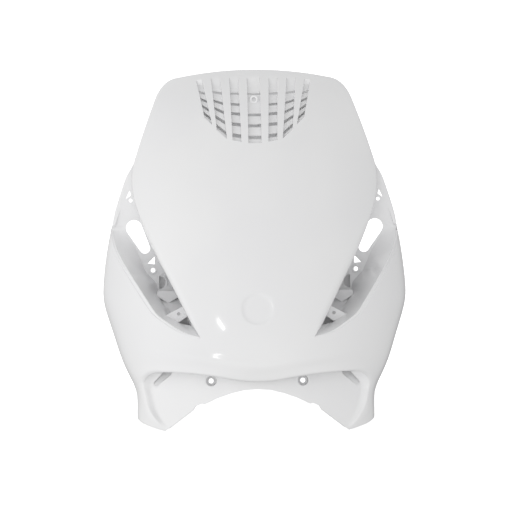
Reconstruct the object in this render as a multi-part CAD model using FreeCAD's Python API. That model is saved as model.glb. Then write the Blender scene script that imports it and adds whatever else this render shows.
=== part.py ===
import FreeCAD, Part

import math
import os

# Front panel of a small scooter, one moulding. All sizes are in millimetres.
# While drawing, x runs to the right, y runs back from the nose and z runs up from the lobe tips.
# At the end the panel moves so that the origin lies midway between the two lower screws.

WALL = 2.6                  # general wall thickness
LOW = -10.0                 # lowest line of the skin before trimming
HIGH = 510.0                # highest line of the skin before trimming
NEAR = -150.0               # well in front of the nose
FAR = 320.0                 # well behind the panel
ASIDE = 300.0               # well outside the panel on the right
ABOVE = 600.0               # well above the panel
BELOW = -90.0               # well below the panel
AHEAD = 8.0                 # how far in front of a wall its holes are cut from

# Shape of the skin, each as (height, value).
HALF_WIDTH = [(-10, 164), (0, 164.5), (20, 165.3), (44, 165.5), (56, 167.5), (70, 173.6),
              (95, 185), (129, 196.4), (160, 206.3), (182, 211.3), (190, 211.8), (208, 211),
              (249, 206), (291, 197.4), (333, 187), (371, 183), (420, 182), (470, 180), (510, 178)]
NOSE_LINE = [(-10, 58), (0, 52), (30, 34), (50, 23), (67, 14.5), (80, 8.5), (95, 4), (120, 0.6),
             (140, 0), (165, 0.8), (200, 3.5), (250, 11), (300, 22), (350, 37), (400, 56),
             (440, 75), (470, 93), (490, 108), (510, 125)]
SIDE_DEPTH = [(-10, 50), (0, 55), (30, 70), (67, 92), (95, 105), (130, 118), (165, 125),
              (187, 127), (250, 118), (300, 97), (345, 80), (400, 76), (460, 72), (510, 70)]
SQUARER_BELOW = 92.0        # under this height the section grows squarer
SQUARE_AT = 40.0            # and is squarest from here down

# Outline of the raised shield, as (height, half width), from the eye tip to the top corner.
SHIELD_EDGE = [(129, 79), (143, 87.8), (171, 103.6), (204, 121), (252, 143.5), (294, 159.5),
               (322, 168), (347, 170.6), (363, 169.6), (386, 163.5), (423.5, 151), (455, 139.5)]
CORNER_START = 455.0        # height where the side ends and the rounded corner begins
CORNER_PULL = (24.5, -2.5)  # from the end of the top arc to the point that draws the corner out
SHIELD_TOP = 501.5          # crest of the top edge
TOP_RADIUS = 524.0          # radius of the top edge
TOP_ARC_END = 104.0         # half width where the top arc ends and the corner begins
UPPER_BACK = 128.0          # depth of the rear edge of the shield's return wall
RETURN_FOOT = 300.0         # height where the return wall starts
RETURN_SPARE = 3.0          # how far the return wall stands out before it is trimmed

# Eye opening, as (height, half width): its outer rim and the foot of its sloping outer wall.
EYE_RIM = [(129, 81), (137, 102), (148, 120), (158, 134), (172, 145.5), (193, 158.7),
           (221, 175.8), (251, 191.5), (268, 196.3), (279, 197.6)]
EYE_FOOT = [(129, 80), (146, 100), (160, 115), (178, 129), (201, 140), (218, 150), (232, 156),
            (256, 166), (284, 181), (309, 187)]
RIM_LAND = 3.0              # depth of the straight land inside the rim
EYE_TIP = 129.0             # height of the lower tip of the eye
RIM_TOP = 279.0             # height where the rim meets the strip
EYE_STATIONS = [130, 136, 143, 151, 160, 170, 180, 190, 200, 212, 228, 246, 264, 281, 296, 312]
BLOCK_FOOT = 126.0          # foot of the block that the eye pocket is hollowed out of
POCKET_FOOT = 122.0         # foot of the shape that bounds the pocket behind
INNER_SPARE = 12.0          # how far that shape reaches in behind the shield
RIM_SPARE = 8.0             # and how far out beyond the rim
FLOOR_LINE = [(129, 26), (140, 44), (155, 68), (172, 98), (190, 118), (205, 124), (250, 115.8),
              (309, 104)]
STRIP_DEPTH = 104.0         # face of the set-back strip beside the shield
STRIP_EDGE = [(283, 198.6), (291, 197.4), (333, 185.5), (361, 175), (372, 169.5)]
STRIP_INNER = 140.0         # hidden inner edge of the strip plate
STRIP_STEP = [(186, 309), (193.8, 286)]
TRIM_GAP = 0.2              # the trim stays this far off the side of the strip
TRIM_RANGE = (283.5, 340.0) # heights between which the trim follows the strip
TRIM_START = 200.6          # half width where the trim starts on the rim

# Eye pocket fittings, as front-view points (half width, height).
TAB = [(126.7, 159), (101, 172.3), (94, 159.3), (107, 150)]
TAB_DEPTH = 56.0
TAB_HOLE = (107.7, 161.6)
TAB_HOLE_RADIUS = 2.4
STEP = [(108, 184), (112, 193), (136, 193), (137, 186), (121, 176)]
STEP_DEPTH = 104.0
STEP_HEIGHT = 190.0         # height at which the floor behind the step is taken
STEP_HOLLOW = 0.7           # share of the step's outline that is hollow behind
KEYHOLE_BIG = (168.0, 281.0)
KEYHOLE_BIG_RADIUS = 11.0
KEYHOLE_SMALL = (153.0, 252.7)
KEYHOLE_SMALL_RADIUS = 7.2
NICK = [(139.5, 241), (149, 231.5), (139.5, 230.5)]
EYE_SCREW = (141.8, 222.0)
EYE_SCREW_RADIUS = 3.0
EYE_RING_RADIUS = 5.6
EYE_RING_RISE = 1.5
HALF_ROUND = (133.5, 205.0)
HALF_ROUND_RADIUS = 9.0
HALF_ROUND_CUP = 12.0       # depth of the blind cup behind it
CLIP_HOLE = [(97.5, 157.5), (109, 149.5), (91, 145)]
CLIP_DEPTH = 22.0
CLIP_HEIGHT = 150.0         # height at which the floor behind the clip hole is taken
CLIP_FRONT = 40.0           # depth from which the clip hole is cut
CLIP_SPREAD = 1.5           # outline of the cup behind the clip hole, as a share of the hole's
STRIP_HOLE = [(173.8, 333), (172.2, 327), (179, 322)]
STRIP_SCREW = (172.5, 319.5)
STRIP_SCREW_RADIUS = 2.4

# Lower recess: border of the opening (half width, height), back wall and arch.
RECESS_BORDER = [(0, 67), (25, 68.5), (42, 71.5), (66.7, 75.7), (84, 78), (112, 80.5), (130, 81),
                 (143, 79.5), (152, 74), (156.5, 65), (155.5, 52), (152, 36), (144, 20), (127.5, -1.5)]
RECESS_DEPTH = 33.0         # depth of the back wall at the middle
RECESS_CURVE = 0.0018       # how fast the back wall falls away sideways
RECESS_REACH = 210.0        # half width over which the back wall is drawn
ARCH_TOP = 56.7
ARCH_SIDE = (36.0, 51.0)
ARCH_FOOT = (74.0, 35.5)
ARCH_STEPS = [(76.6, 37), (86, 33.4), (88.8, 28)]
LOBE_TIP = (127.5, -1.5)
LOBE_CORNER = (166.5, 17.5)
LOBE_OUTSIDE = (260.0, 40.0)

# Lower screws.
SCREW_SPACING = 127.0
SCREW_HEIGHT = 68.3
SCREW_CUP_RADIUS = 7.3
SCREW_HOLE_RADIUS = 3.3
SCREW_SEAT = 52.0           # depth of the face under the screw head
CUP_REACH = 12.0            # how far towards the middle the front of a screw cup starts
DRAIN_SLOT = [(123.0, 80.0), (141.5, 62.6)]
DRAIN_RADIUS = 3.8
DRAIN_CUP = 12.0            # depth of the blind cup behind a slanted slot
LAP = 1.0                   # how far a cup laps into the wall that it stands behind

# Grille: columns as (inner edge, outer edge, lean, inner foot, outer foot).
GRILLE_COLUMNS = [(-9.1, 9.1, 0.0, 397.6, 397.6), (20.7, 33.1, 0.03, 399.3, 401.5),
                  (44.6, 57.4, 0.09, 404.0, 416.0), (68.0, 76.3, 0.2, 424.0, 433.0)]
GRILLE_TOP = 489.0
GRILLE_ROW_HEIGHT = 469.0   # height at which the column edges are given
GRILLE_DEPTH = 6.0
GRILLE_RAMP = 9.0           # height of the sloping top end of a column
GRILLE_ROWS = [(466.6, 0.00048, 2.8), (450.8, 0.00147, 3.0), (437.4, 0.00196, 3.3),
               (422.0, 0.0028, 3.8), (405.4, 0.0039, 4.2)]
ROW_ROOM = 4.0              # least height between the foot of a column and its lowest row
SLOT_THROUGH = 9.0          # how far a slot is cut past the floor of its column
SHELF_START = 1.2           # sloping shelf behind a slot: gap to the floor, thickness, reach and rise
SHELF_THICK = 2.5
SHELF_REACH = 8.5
SHELF_RISE = 3.0
RAMP_SPARE = 2.0            # how far the ramp runs past the skin and the floor
RAMP_BACK = 60.0            # thickness of the wedge that leaves the ramp
RAMP_HALF = 100.0           # half width of that wedge
GRILLE_EDGE = [(86, 494), (80, 462), (70, 424), (60, 406), (42, 396), (22, 392), (0, 391)]
UPPER_SCREW_HEIGHT = 458.8
UPPER_SCREW_RADIUS = 2.8
UPPER_BOSS_RADIUS = 7.5
UPPER_BOSS_LENGTH = 12.0
UPPER_BOSS_STAND = 3.0      # how far the boss stands out of the column's floor
UPPER_BOSS_ROOM = 10.0      # rows nearer than this to the upper screw are left out of the middle column

# Round seat for a badge on the nose.
BADGE_HEIGHT = 168.0
BADGE_RADIUS = 21.0
BADGE_DEPTH = 0.7

V = FreeCAD.Vector
QUARTER = math.pi / 2


def spline(points):
    """Natural cubic spline through (position, value) pairs, as a function of position."""
    at = [p[0] for p in points]
    val = [p[1] for p in points]
    last = len(at) - 1
    gap = [at[i + 1] - at[i] for i in range(last)]
    diag = [1.0] * (last + 1)
    rhs = [0.0] * (last + 1)
    for i in range(1, last):
        diag[i] = 2 * (gap[i - 1] + gap[i])
        rhs[i] = 6 * ((val[i + 1] - val[i]) / gap[i] - (val[i] - val[i - 1]) / gap[i - 1])
        if i > 1:
            share = gap[i - 1] / diag[i - 1]
            diag[i] -= share * gap[i - 1]
            rhs[i] -= share * rhs[i - 1]
    bend = [0.0] * (last + 1)
    for i in range(last - 1, 0, -1):
        bend[i] = (rhs[i] - gap[i] * bend[i + 1]) / diag[i]

    def value(x):
        i = 0
        while i < last - 1 and x > at[i + 1]:
            i += 1
        a = at[i + 1] - x
        b = x - at[i]
        g = gap[i]
        cubic = (bend[i] * a ** 3 + bend[i + 1] * b ** 3) / (6 * g)
        return cubic + (val[i] / g - bend[i] * g / 6) * a + (val[i + 1] / g - bend[i + 1] * g / 6) * b

    return value


half_width = spline(HALF_WIDTH)
nose_line = spline(NOSE_LINE)
side_depth = spline(SIDE_DEPTH)
shield_edge = spline(SHIELD_EDGE)
eye_rim = spline(EYE_RIM)
eye_foot = spline(EYE_FOOT)
floor_line = spline(FLOOR_LINE)
strip_edge = spline(STRIP_EDGE)


def squareness(z):
    """Exponent of the section: 2 is an ellipse, 4 is squarer."""
    s = min(1.0, max(0.0, (SQUARER_BELOW - z) / (SQUARER_BELOW - SQUARE_AT)))
    return 2 + 2 * s * s * (3 - 2 * s)


def skin_depth(x, z):
    """Depth of the outer skin at half width x and height z."""
    share = min(1.0, abs(x) / half_width(z))
    return nose_line(z) + side_depth(z) * (1 - math.sqrt(max(0.0, 1 - share ** squareness(z))))


def skin_point(angle, z):
    """Point of the outer skin; the angle runs from the left rear edge to the right one."""
    s = math.sin(angle)
    fall = 1 - math.sqrt(max(0.0, 1 - abs(s) ** squareness(z)))
    return V(half_width(z) * s, nose_line(z) + side_depth(z) * fall, z)


def skin_normal(angle, z):
    """Unit normal of the skin, pointing out to the front."""
    left = max(-QUARTER, angle - 0.001)
    right = min(QUARTER, angle + 0.001)
    across = skin_point(right, z) - skin_point(left, z)
    up = skin_point(angle, z + 0.05) - skin_point(angle, z - 0.05)
    normal = across.cross(up)
    return normal.normalize()


def skin_surface(inset, rows=44, columns=36):
    """Smooth surface lying a given distance inside the outer skin."""
    grid = []
    for j in range(rows + 1):
        z = LOW + (HIGH - LOW) * j / rows
        angles = [-QUARTER + 2 * QUARTER * i / columns for i in range(columns + 1)]
        grid.append([skin_point(a, z) - skin_normal(a, z) * inset for a in angles])
    surface = Part.BSplineSurface()
    surface.interpolate(grid)
    return surface


def sheet(outer, inner):
    """Solid between two surfaces laid out alike."""
    faces = [outer.toShape(), inner.toShape()]
    for end in (0, 1):
        faces.append(Part.makeRuledSurface(outer.uIso(end).toShape(), inner.uIso(end).toShape()))
        faces.append(Part.makeRuledSurface(outer.vIso(end).toShape(), inner.vIso(end).toShape()))
    shell = Part.makeShell(faces)
    shell.sewShape()
    solid = Part.makeSolid(shell)
    if solid.Volume < 0:
        solid.reverse()
    return solid


def beyond(surface, reach):
    """Everything on one side of a skin surface, away from its steep ends."""
    face = surface.toShape(0.0, 1.0, 0.02, 0.98)
    return face.extrude(V(0, reach, 0))


def curve(points):
    """Smooth edge through front-view points (x, z)."""
    line = Part.BSplineCurve()
    line.interpolate([V(x, 0, z) for x, z in points])
    return line.toShape()


def polyline(points):
    """Straight edges from point to point of a front-view line."""
    return [Part.makeLine(V(a[0], 0, a[1]), V(b[0], 0, b[1])) for a, b in zip(points, points[1:])]


def prism(edges, near=NEAR, far=FAR):
    """Front-view outline carried straight back from one depth to another."""
    wire = Part.Wire(Part.__sortEdges__(edges))
    solid = Part.Face(wire).extrude(V(0, far - near, 0))
    solid.translate(V(0, near, 0))
    return solid


def flat_prism(points, near=NEAR, far=FAR):
    """Front-view polygon carried straight back."""
    return prism(polyline(list(points) + [points[0]]), near, far)


def rod(x, z, radius, near=NEAR, far=FAR):
    """Round rod that runs straight back."""
    return Part.makeCylinder(radius, far - near, V(x, near, z), V(0, 1, 0))


def mirrored(shape):
    """The same shape on the left."""
    return shape.mirror(V(0, 0, 0), V(1, 0, 0))


def both(shape):
    """Shape on the right and its mirror image."""
    return [shape, mirrored(shape)]


def heights(low, high, count):
    """Evenly spaced heights, both ends included."""
    return [low + (high - low) * i / count for i in range(count + 1)]


def top_arc_height(x):
    """Height of the top edge at a half width."""
    return SHIELD_TOP - TOP_RADIUS + math.sqrt(TOP_RADIUS ** 2 - x * x)


def shield_side(inset=0.0):
    """Front-view points of the right edge of the shield, from the eye tip up to the corner."""
    points = []
    for z in heights(EYE_TIP, CORNER_START, 26):
        slope = (shield_edge(z + 0.1) - shield_edge(z - 0.1)) / 0.2
        size = math.hypot(1, slope)
        points.append((shield_edge(z) - inset / size, z + inset * slope / size))
    return points


def corner_points(inset=0.0):
    """Front-view points of the rounded top corner, from the side up to the top arc."""
    side = shield_side(inset)[-1]
    end = (TOP_ARC_END, top_arc_height(TOP_ARC_END) - inset)
    square = (end[0] + CORNER_PULL[0], end[1] + CORNER_PULL[1])
    points = []
    for s in (0.0, 0.25, 0.5, 0.75, 1.0):
        keep = ((1 - s) ** 2, 2 * s * (1 - s), s * s)
        x = keep[0] * side[0] + keep[1] * square[0] + keep[2] * end[0]
        z = keep[0] * side[1] + keep[1] * square[1] + keep[2] * end[1]
        points.append((x, z))
    return points


def shield_outline(inset=0.0):
    """Edges of the upper shield outline, closed by a straight line at the eye tips."""
    side = shield_side(inset)
    corner = corner_points(inset)
    right = [curve(side), curve(corner)]
    left = [mirrored(edge) for edge in right]
    end = corner[-1]
    crest = V(0, 0, SHIELD_TOP - inset)
    top = Part.Arc(V(-end[0], 0, end[1]), crest, V(end[0], 0, end[1])).toShape()
    base = polyline([(-side[0][0], side[0][1]), side[0]])
    return right + left + [top] + base


def outside_region():
    """Front-view region on the right that holds the eye opening and all outside the shield."""
    side = shield_side()
    corner = corner_points()
    rim = [(eye_rim(z), z) for z in heights(EYE_TIP, RIM_TOP, 14)]
    end = corner[-1]
    mid = (0.0, SHIELD_TOP)
    half = (end[0] / 2, top_arc_height(end[0] / 2))
    top = Part.Arc(V(end[0], 0, end[1]), V(half[0], 0, half[1]), V(mid[0], 0, mid[1])).toShape()
    frame = [rim[-1], (rim[-1][0] + 5, 284), (ASIDE, 290), (ASIDE, ABOVE), (0, ABOVE), mid]
    edges = [curve(side), curve(corner), top, curve(rim)] + polyline([side[0], rim[0]]) + polyline(frame)
    return prism(edges)


def strip_region(near, inset=0.0):
    """Front-view region of the set-back strip beside the shield, from a given depth back."""
    outer = [(strip_edge(z) - inset, z) for z in heights(STRIP_EDGE[0][0], STRIP_EDGE[-1][0], 8)]
    hidden = [(STRIP_INNER, outer[-1][1]), (STRIP_INNER, STRIP_STEP[0][1])]
    inner = [outer[-1]] + hidden + STRIP_STEP + [outer[0]]
    return prism([curve(outer)] + polyline(inner), near)


def strip_trim():
    """What stands out beyond the side of the right strip and is cut away."""
    side = [(strip_edge(z) + TRIM_GAP, z) for z in heights(TRIM_RANGE[0], TRIM_RANGE[1], 6)]
    far = [(ASIDE, TRIM_RANGE[1]), (ASIDE, RIM_TOP), (TRIM_START, RIM_TOP)]
    return prism([curve(side)] + polyline([side[-1]] + far + [side[0]]))


def strip():
    """Strip plate with its side wall, open behind."""
    whole = strip_region(STRIP_DEPTH, 0.0).common(flat_depth(UPPER_BACK))
    return whole.cut(strip_region(STRIP_DEPTH + WALL, WALL))


def flat_depth(depth):
    """Everything in front of a flat depth."""
    return Part.makeBox(2 * ASIDE, depth - NEAR, ABOVE - BELOW, V(-ASIDE, NEAR, BELOW))


def return_wall():
    """Wall that runs back from the edge of the shield, a little oversize outside."""
    ring = prism(shield_outline(-RETURN_SPARE)).cut(prism(shield_outline(WALL)))
    ring = ring.common(flat_depth(UPPER_BACK))
    upper = Part.makeBox(2 * ASIDE, FAR - NEAR, ABOVE - RETURN_FOOT, V(-ASIDE, NEAR, RETURN_FOOT))
    return ring.common(upper)


def recess_border(spread=0.0):
    """Front-view edges of the lower recess opening, closed well below the lobes."""
    right = []
    points = RECESS_BORDER
    for i, (x, z) in enumerate(points):
        before = points[max(0, i - 1)]
        after = points[min(len(points) - 1, i + 1)]
        dx = after[0] - before[0] if i else 1.0
        dz = after[1] - before[1] if i else 0.0
        size = math.hypot(dx, dz)
        right.append((x - spread * dz / size, z + spread * dx / size))
    left = [(-x, z) for x, z in reversed(right[1:])]
    foot = [right[-1], (right[-1][0], BELOW), (-right[-1][0], BELOW), left[0]]
    return [curve(left + right)] + polyline(foot)


def recess_depth(x):
    """Depth of the back wall of the recess at a half width."""
    return RECESS_DEPTH + RECESS_CURVE * x * x


def recess_region(depth):
    """Everything in front of the curved back wall, moved back by the given depth."""
    points = []
    for x in heights(-RECESS_REACH, RECESS_REACH, 20):
        points.append(V(x, recess_depth(x) + depth, BELOW))
    back = Part.BSplineCurve()
    back.interpolate(points)
    corners = [points[-1], V(RECESS_REACH, NEAR, BELOW), V(-RECESS_REACH, NEAR, BELOW), points[0]]
    edges = [back.toShape()] + [Part.makeLine(a, b) for a, b in zip(corners, corners[1:])]
    return Part.Face(Part.Wire(Part.__sortEdges__(edges))).extrude(V(0, 0, 220))


def arch_cut():
    """Gap below the back wall and between the lobes."""
    side = [ARCH_FOOT] + ARCH_STEPS + [LOBE_TIP]
    crown = Part.BSplineCurve()
    crown.interpolate([V(-ARCH_FOOT[0], 0, ARCH_FOOT[1]), V(-ARCH_SIDE[0], 0, ARCH_SIDE[1]),
                       V(0, 0, ARCH_TOP), V(ARCH_SIDE[0], 0, ARCH_SIDE[1]),
                       V(ARCH_FOOT[0], 0, ARCH_FOOT[1])])
    right = polyline(side)
    left = [mirrored(edge) for edge in right]
    foot = [LOBE_TIP, (LOBE_TIP[0], BELOW), (-LOBE_TIP[0], BELOW), (-LOBE_TIP[0], LOBE_TIP[1])]
    return prism([crown.toShape()] + right + left + polyline(foot))


def lobe_cut():
    """What is cut off below the slanted foot of the right lobe."""
    far = [LOBE_OUTSIDE, (LOBE_OUTSIDE[0], BELOW), (LOBE_TIP[0], BELOW)]
    return flat_prism([LOBE_TIP, LOBE_CORNER] + far)


def recess_block(front):
    """Solid block that the lower recess is hollowed out of."""
    return prism(recess_border(WALL)).common(recess_region(WALL)).cut(front)


def recess_hollow():
    """What is taken out of that block."""
    return prism(recess_border()).common(recess_region(0.0))


def eye_numbers(z):
    """Shield edge, rim, foot, floor depth and rim depth of the right eye at one height."""
    rim = eye_rim(min(z, RIM_TOP))
    foot = min(eye_foot(z), rim - 1.0)
    floor = floor_line(z)
    land = skin_depth(rim, min(z, RIM_TOP)) + RIM_LAND
    return shield_edge(z), rim, foot, floor, min(land, floor - 0.5)


def eye_block():
    """Solid block that the right eye pocket is hollowed out of."""
    wires = []
    for z in [BLOCK_FOOT] + EYE_STATIONS:
        inner, rim, foot, floor, rim_depth = eye_numbers(max(z, EYE_STATIONS[0]))
        points = [V(inner - WALL, skin_depth(inner - WALL, z) + WALL / 2, z),
                  V(inner - WALL, floor + WALL, z),
                  V(foot + WALL / 2, floor + WALL, z),
                  V(rim + WALL, rim_depth + WALL, z),
                  V(rim + WALL, rim_depth - RIM_LAND + WALL / 2, z)]
        wires.append(Part.makePolygon(points + points[:1]))
    return Part.makeLoft(wires, True, False)


def eye_floor():
    """Everything behind the floor and the sloping outer wall of the right eye pocket."""
    wires = []
    for z in [POCKET_FOOT] + EYE_STATIONS:
        inner, rim, foot, floor, rim_depth = eye_numbers(max(z, EYE_STATIONS[0]))
        slope = (floor - rim_depth) / (rim - foot)
        points = [V(inner - INNER_SPARE, floor, z), V(foot, floor, z),
                  V(rim + RIM_SPARE, rim_depth - RIM_SPARE * slope, z),
                  V(rim + RIM_SPARE, FAR, z), V(inner - INNER_SPARE, FAR, z)]
        wires.append(Part.makePolygon(points + points[:1]))
    return Part.makeLoft(wires, True, False)


def tapered_slot(big, big_radius, small, small_radius):
    """Edges of a slot with two round ends of different radius."""
    dx = small[0] - big[0]
    dz = small[1] - big[1]
    heading = math.atan2(dz, dx)
    spread = math.acos((big_radius - small_radius) / math.hypot(dx, dz))
    edges = []
    ends = []
    for centre, radius, middle in ((big, big_radius, heading + math.pi), (small, small_radius, heading)):
        turns = (heading - spread, middle, heading + spread)
        p = [V(centre[0] + radius * math.cos(t), 0, centre[1] + radius * math.sin(t)) for t in turns]
        edges.append(Part.Arc(p[0], p[1], p[2]).toShape())
        ends.append(p)
    return edges + [Part.makeLine(ends[0][0], ends[1][0]), Part.makeLine(ends[0][2], ends[1][2])]


def half_round(radius):
    """Edges of the half-round opening, its flat side outwards."""
    x, z = HALF_ROUND
    arc = Part.Arc(V(x, 0, z - radius), V(x - radius, 0, z), V(x, 0, z + radius)).toShape()
    return [arc] + polyline([(x, z + radius), (x, z - radius)])


def resized(points, share):
    """Polygon drawn in towards its middle, or spread out from it."""
    mx = sum(p[0] for p in points) / len(points)
    mz = sum(p[1] for p in points) / len(points)
    return [(mx + (x - mx) * share, mz + (z - mz) * share) for x, z in points]


def eye_adds():
    """Step, tab, screw ring and the cups behind the blind openings of the right eye."""
    step = flat_prism(STEP, STEP_DEPTH, floor_line(STEP_HEIGHT) + WALL)
    tab = flat_prism(TAB, TAB_DEPTH, TAB_DEPTH + WALL)
    seat = floor_line(EYE_SCREW[1])
    ring = rod(EYE_SCREW[0], EYE_SCREW[1], EYE_RING_RADIUS, seat - EYE_RING_RISE, seat + WALL)
    deep = floor_line(HALF_ROUND[1])
    cup = prism(half_round(HALF_ROUND_RADIUS + WALL), deep + LAP, deep + HALF_ROUND_CUP)
    low = floor_line(CLIP_HEIGHT)
    clip = flat_prism(resized(CLIP_HOLE, CLIP_SPREAD), low + LAP, low + CLIP_DEPTH)
    return [step, tab, ring, cup, clip]


def eye_cuts():
    """Openings in the floor, the tab and the strip of the right eye."""
    seat = floor_line(EYE_SCREW[1])
    deep = floor_line(HALF_ROUND[1])
    low = floor_line(CLIP_HEIGHT)
    key = tapered_slot(KEYHOLE_BIG, KEYHOLE_BIG_RADIUS, KEYHOLE_SMALL, KEYHOLE_SMALL_RADIUS)
    return [prism(key, floor_line(KEYHOLE_BIG[1]) - AHEAD),
            flat_prism(NICK, seat - AHEAD),
            rod(EYE_SCREW[0], EYE_SCREW[1], EYE_SCREW_RADIUS, seat - AHEAD),
            prism(half_round(HALF_ROUND_RADIUS), deep - AHEAD, deep + HALF_ROUND_CUP - WALL),
            flat_prism(resized(STEP, STEP_HOLLOW), STEP_DEPTH + WALL),
            rod(TAB_HOLE[0], TAB_HOLE[1], TAB_HOLE_RADIUS, TAB_DEPTH - AHEAD, TAB_DEPTH + 2 * WALL),
            flat_prism(CLIP_HOLE, CLIP_FRONT, low + CLIP_DEPTH - WALL),
            flat_prism(STRIP_HOLE, STRIP_DEPTH - AHEAD),
            rod(STRIP_SCREW[0], STRIP_SCREW[1], STRIP_SCREW_RADIUS, STRIP_DEPTH - AHEAD)]


def drain_slot(spread):
    """Edges of the slanted slot, spread by a given width all round."""
    return tapered_slot(DRAIN_SLOT[0], DRAIN_RADIUS + spread + 0.01, DRAIN_SLOT[1], DRAIN_RADIUS + spread)


def recess_adds():
    """Cups behind the recess wall for the right lower screw and the slanted slot."""
    x = SCREW_SPACING / 2
    start = recess_depth(DRAIN_SLOT[0][0]) + LAP
    deep = recess_depth(DRAIN_SLOT[1][0]) + DRAIN_CUP
    front = recess_depth(x - CUP_REACH) + LAP / 2
    cup = rod(x, SCREW_HEIGHT, SCREW_CUP_RADIUS + WALL, front, SCREW_SEAT + WALL)
    return [cup, prism(drain_slot(WALL), start, deep)]


def recess_cuts():
    """Screw cup, screw hole and slanted slot on the right of the recess wall."""
    x = SCREW_SPACING / 2
    start = recess_depth(DRAIN_SLOT[0][0]) - AHEAD
    deep = recess_depth(DRAIN_SLOT[1][0]) + DRAIN_CUP - WALL
    return [rod(x, SCREW_HEIGHT, SCREW_CUP_RADIUS, recess_depth(x) - AHEAD, SCREW_SEAT),
            rod(x, SCREW_HEIGHT, SCREW_HOLE_RADIUS, SCREW_SEAT - AHEAD),
            prism(drain_slot(0.0), start, deep)]


def column_edge(column, side, z):
    """Half width of one edge of a grille column at a height."""
    return column[side] - column[2] * (GRILLE_ROW_HEIGHT - z)


def column_sides():
    """Every grille column as its numbers and a sign for left or right."""
    sides = [(GRILLE_COLUMNS[0], 1)]
    for column in GRILLE_COLUMNS[1:]:
        sides += [(column, 1), (column, -1)]
    return sides


def row_height(row, x):
    """Height of a row of slots at a half width."""
    return row[0] + row[1] * x * x


def grille_pad(front):
    """Thickened patch of skin that the grille is cut into."""
    right = [(x, z) for x, z in reversed(GRILLE_EDGE)]
    left = [(-x, z) for x, z in GRILLE_EDGE[:-1]]
    edge = curve(left + right)
    top = polyline([right[-1], left[0]])
    behind = beyond(skin_surface(GRILLE_DEPTH + WALL), FAR)
    return prism([edge] + top, NEAR, FAR).cut([front, behind])


def grille_column(column, sign, behind):
    """Hollow of one column, with a sloping top end."""
    top = [(column_edge(column, i, GRILLE_TOP), GRILLE_TOP) for i in (0, 1)]
    foot = [(column_edge(column, 1, column[4]), column[4]), (column_edge(column, 0, column[3]), column[3])]
    hollow = flat_prism([(sign * x, z) for x, z in top + foot]).cut(behind)
    x = sign * (top[0][0] + top[1][0]) / 2
    lip = skin_depth(x, GRILLE_TOP)
    low = GRILLE_TOP - GRILLE_RAMP
    base = skin_depth(x, low) + GRILLE_DEPTH + RAMP_SPARE
    high = GRILLE_TOP + LAP
    wedge = [V(-RAMP_HALF, lip - RAMP_SPARE, high), V(-RAMP_HALF, base, low),
             V(-RAMP_HALF, base + RAMP_BACK, low), V(-RAMP_HALF, base + RAMP_BACK, high)]
    ramp = Part.Face(Part.makePolygon(wedge + wedge[:1])).extrude(V(2 * RAMP_HALF, 0, 0))
    return hollow.cut(ramp)


def grille_slot(column, sign, row):
    """Slot through the floor of one column and the sloping shelf behind it."""
    edges = [column_edge(column, i, row[0]) for i in (0, 1)]
    ends = [sign * x for x in edges]
    levels = [row_height(row, x) for x in edges]
    half = row[2] / 2
    outline = [(ends[0], levels[0] - half), (ends[1], levels[1] - half),
               (ends[1], levels[1] + half), (ends[0], levels[0] + half)]
    mid = (ends[0] + ends[1]) / 2
    depth = skin_depth(mid, row[0])
    slot = flat_prism(outline, depth, depth + GRILLE_DEPTH + SLOT_THROUGH)
    wires = []
    for x, z in zip(ends, levels):
        front = skin_depth(x, z) + GRILLE_DEPTH + SHELF_START
        back = skin_depth(x, z) + GRILLE_DEPTH + SHELF_REACH
        low = z - half
        high = z + half + SHELF_RISE
        shelf = [V(x, front, low), V(x, front, low - SHELF_THICK), V(x, back, high - SHELF_THICK),
                 V(x, back, high)]
        wires.append(Part.makePolygon(shelf + shelf[:1]))
    return slot, Part.makeLoft(wires, True, True)


def column_rows(column):
    """Rows of slots that a column has room for; the upper screw takes one place in the middle."""
    rows = [row for row in GRILLE_ROWS if row_height(row, column[1]) > column[4] + ROW_ROOM]
    if column is GRILLE_COLUMNS[0]:
        rows = [row for row in rows if abs(row[0] - UPPER_SCREW_HEIGHT) > UPPER_BOSS_ROOM]
    return rows


def grille(body, front):
    """Panel with the grille pad, columns, slots, shelves and upper screw boss."""
    body = body.fuse(grille_pad(front))
    behind = beyond(skin_surface(GRILLE_DEPTH), FAR)
    body = body.cut([grille_column(column, sign, behind) for column, sign in column_sides()])
    pairs = []
    for column, sign in column_sides():
        pairs += [grille_slot(column, sign, row) for row in column_rows(column)]
    body = body.cut([slot for slot, shelf in pairs])
    seat = skin_depth(0, UPPER_SCREW_HEIGHT) + GRILLE_DEPTH - UPPER_BOSS_STAND
    boss = rod(0, UPPER_SCREW_HEIGHT, UPPER_BOSS_RADIUS, seat, seat + UPPER_BOSS_LENGTH)
    body = body.fuse([shelf for slot, shelf in pairs] + [boss])
    return body.cut(rod(0, UPPER_SCREW_HEIGHT, UPPER_SCREW_RADIUS, seat - AHEAD))


def badge_seat():
    """Shallow round seat on the nose."""
    seat = beyond(skin_surface(BADGE_DEPTH), FAR)
    return rod(0, BADGE_HEIGHT, BADGE_RADIUS, NEAR, FAR).cut(seat)


def build():
    """The whole panel: blocks joined to the skin, then hollowed out, then fitted out."""
    skin = sheet(skin_surface(0.0), skin_surface(WALL))
    front = beyond(skin_surface(WALL / 2), -FAR)
    wall = return_wall().cut(front)
    body = skin.fuse([recess_block(front), wall] + both(eye_block()) + both(strip()))
    outside = outside_region().cut(eye_floor().fuse(strip_region(STRIP_DEPTH)))
    for tool in [recess_hollow(), arch_cut()] + both(lobe_cut()) + both(outside) + both(strip_trim()):
        body = body.cut(tool)
    right = eye_adds() + recess_adds()
    body = body.fuse(right + [mirrored(part) for part in right])
    right = eye_cuts() + recess_cuts()
    body = body.cut(right + [mirrored(part) for part in right])
    body = grille(body, front)
    body = body.cut(badge_seat())
    return body


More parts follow.
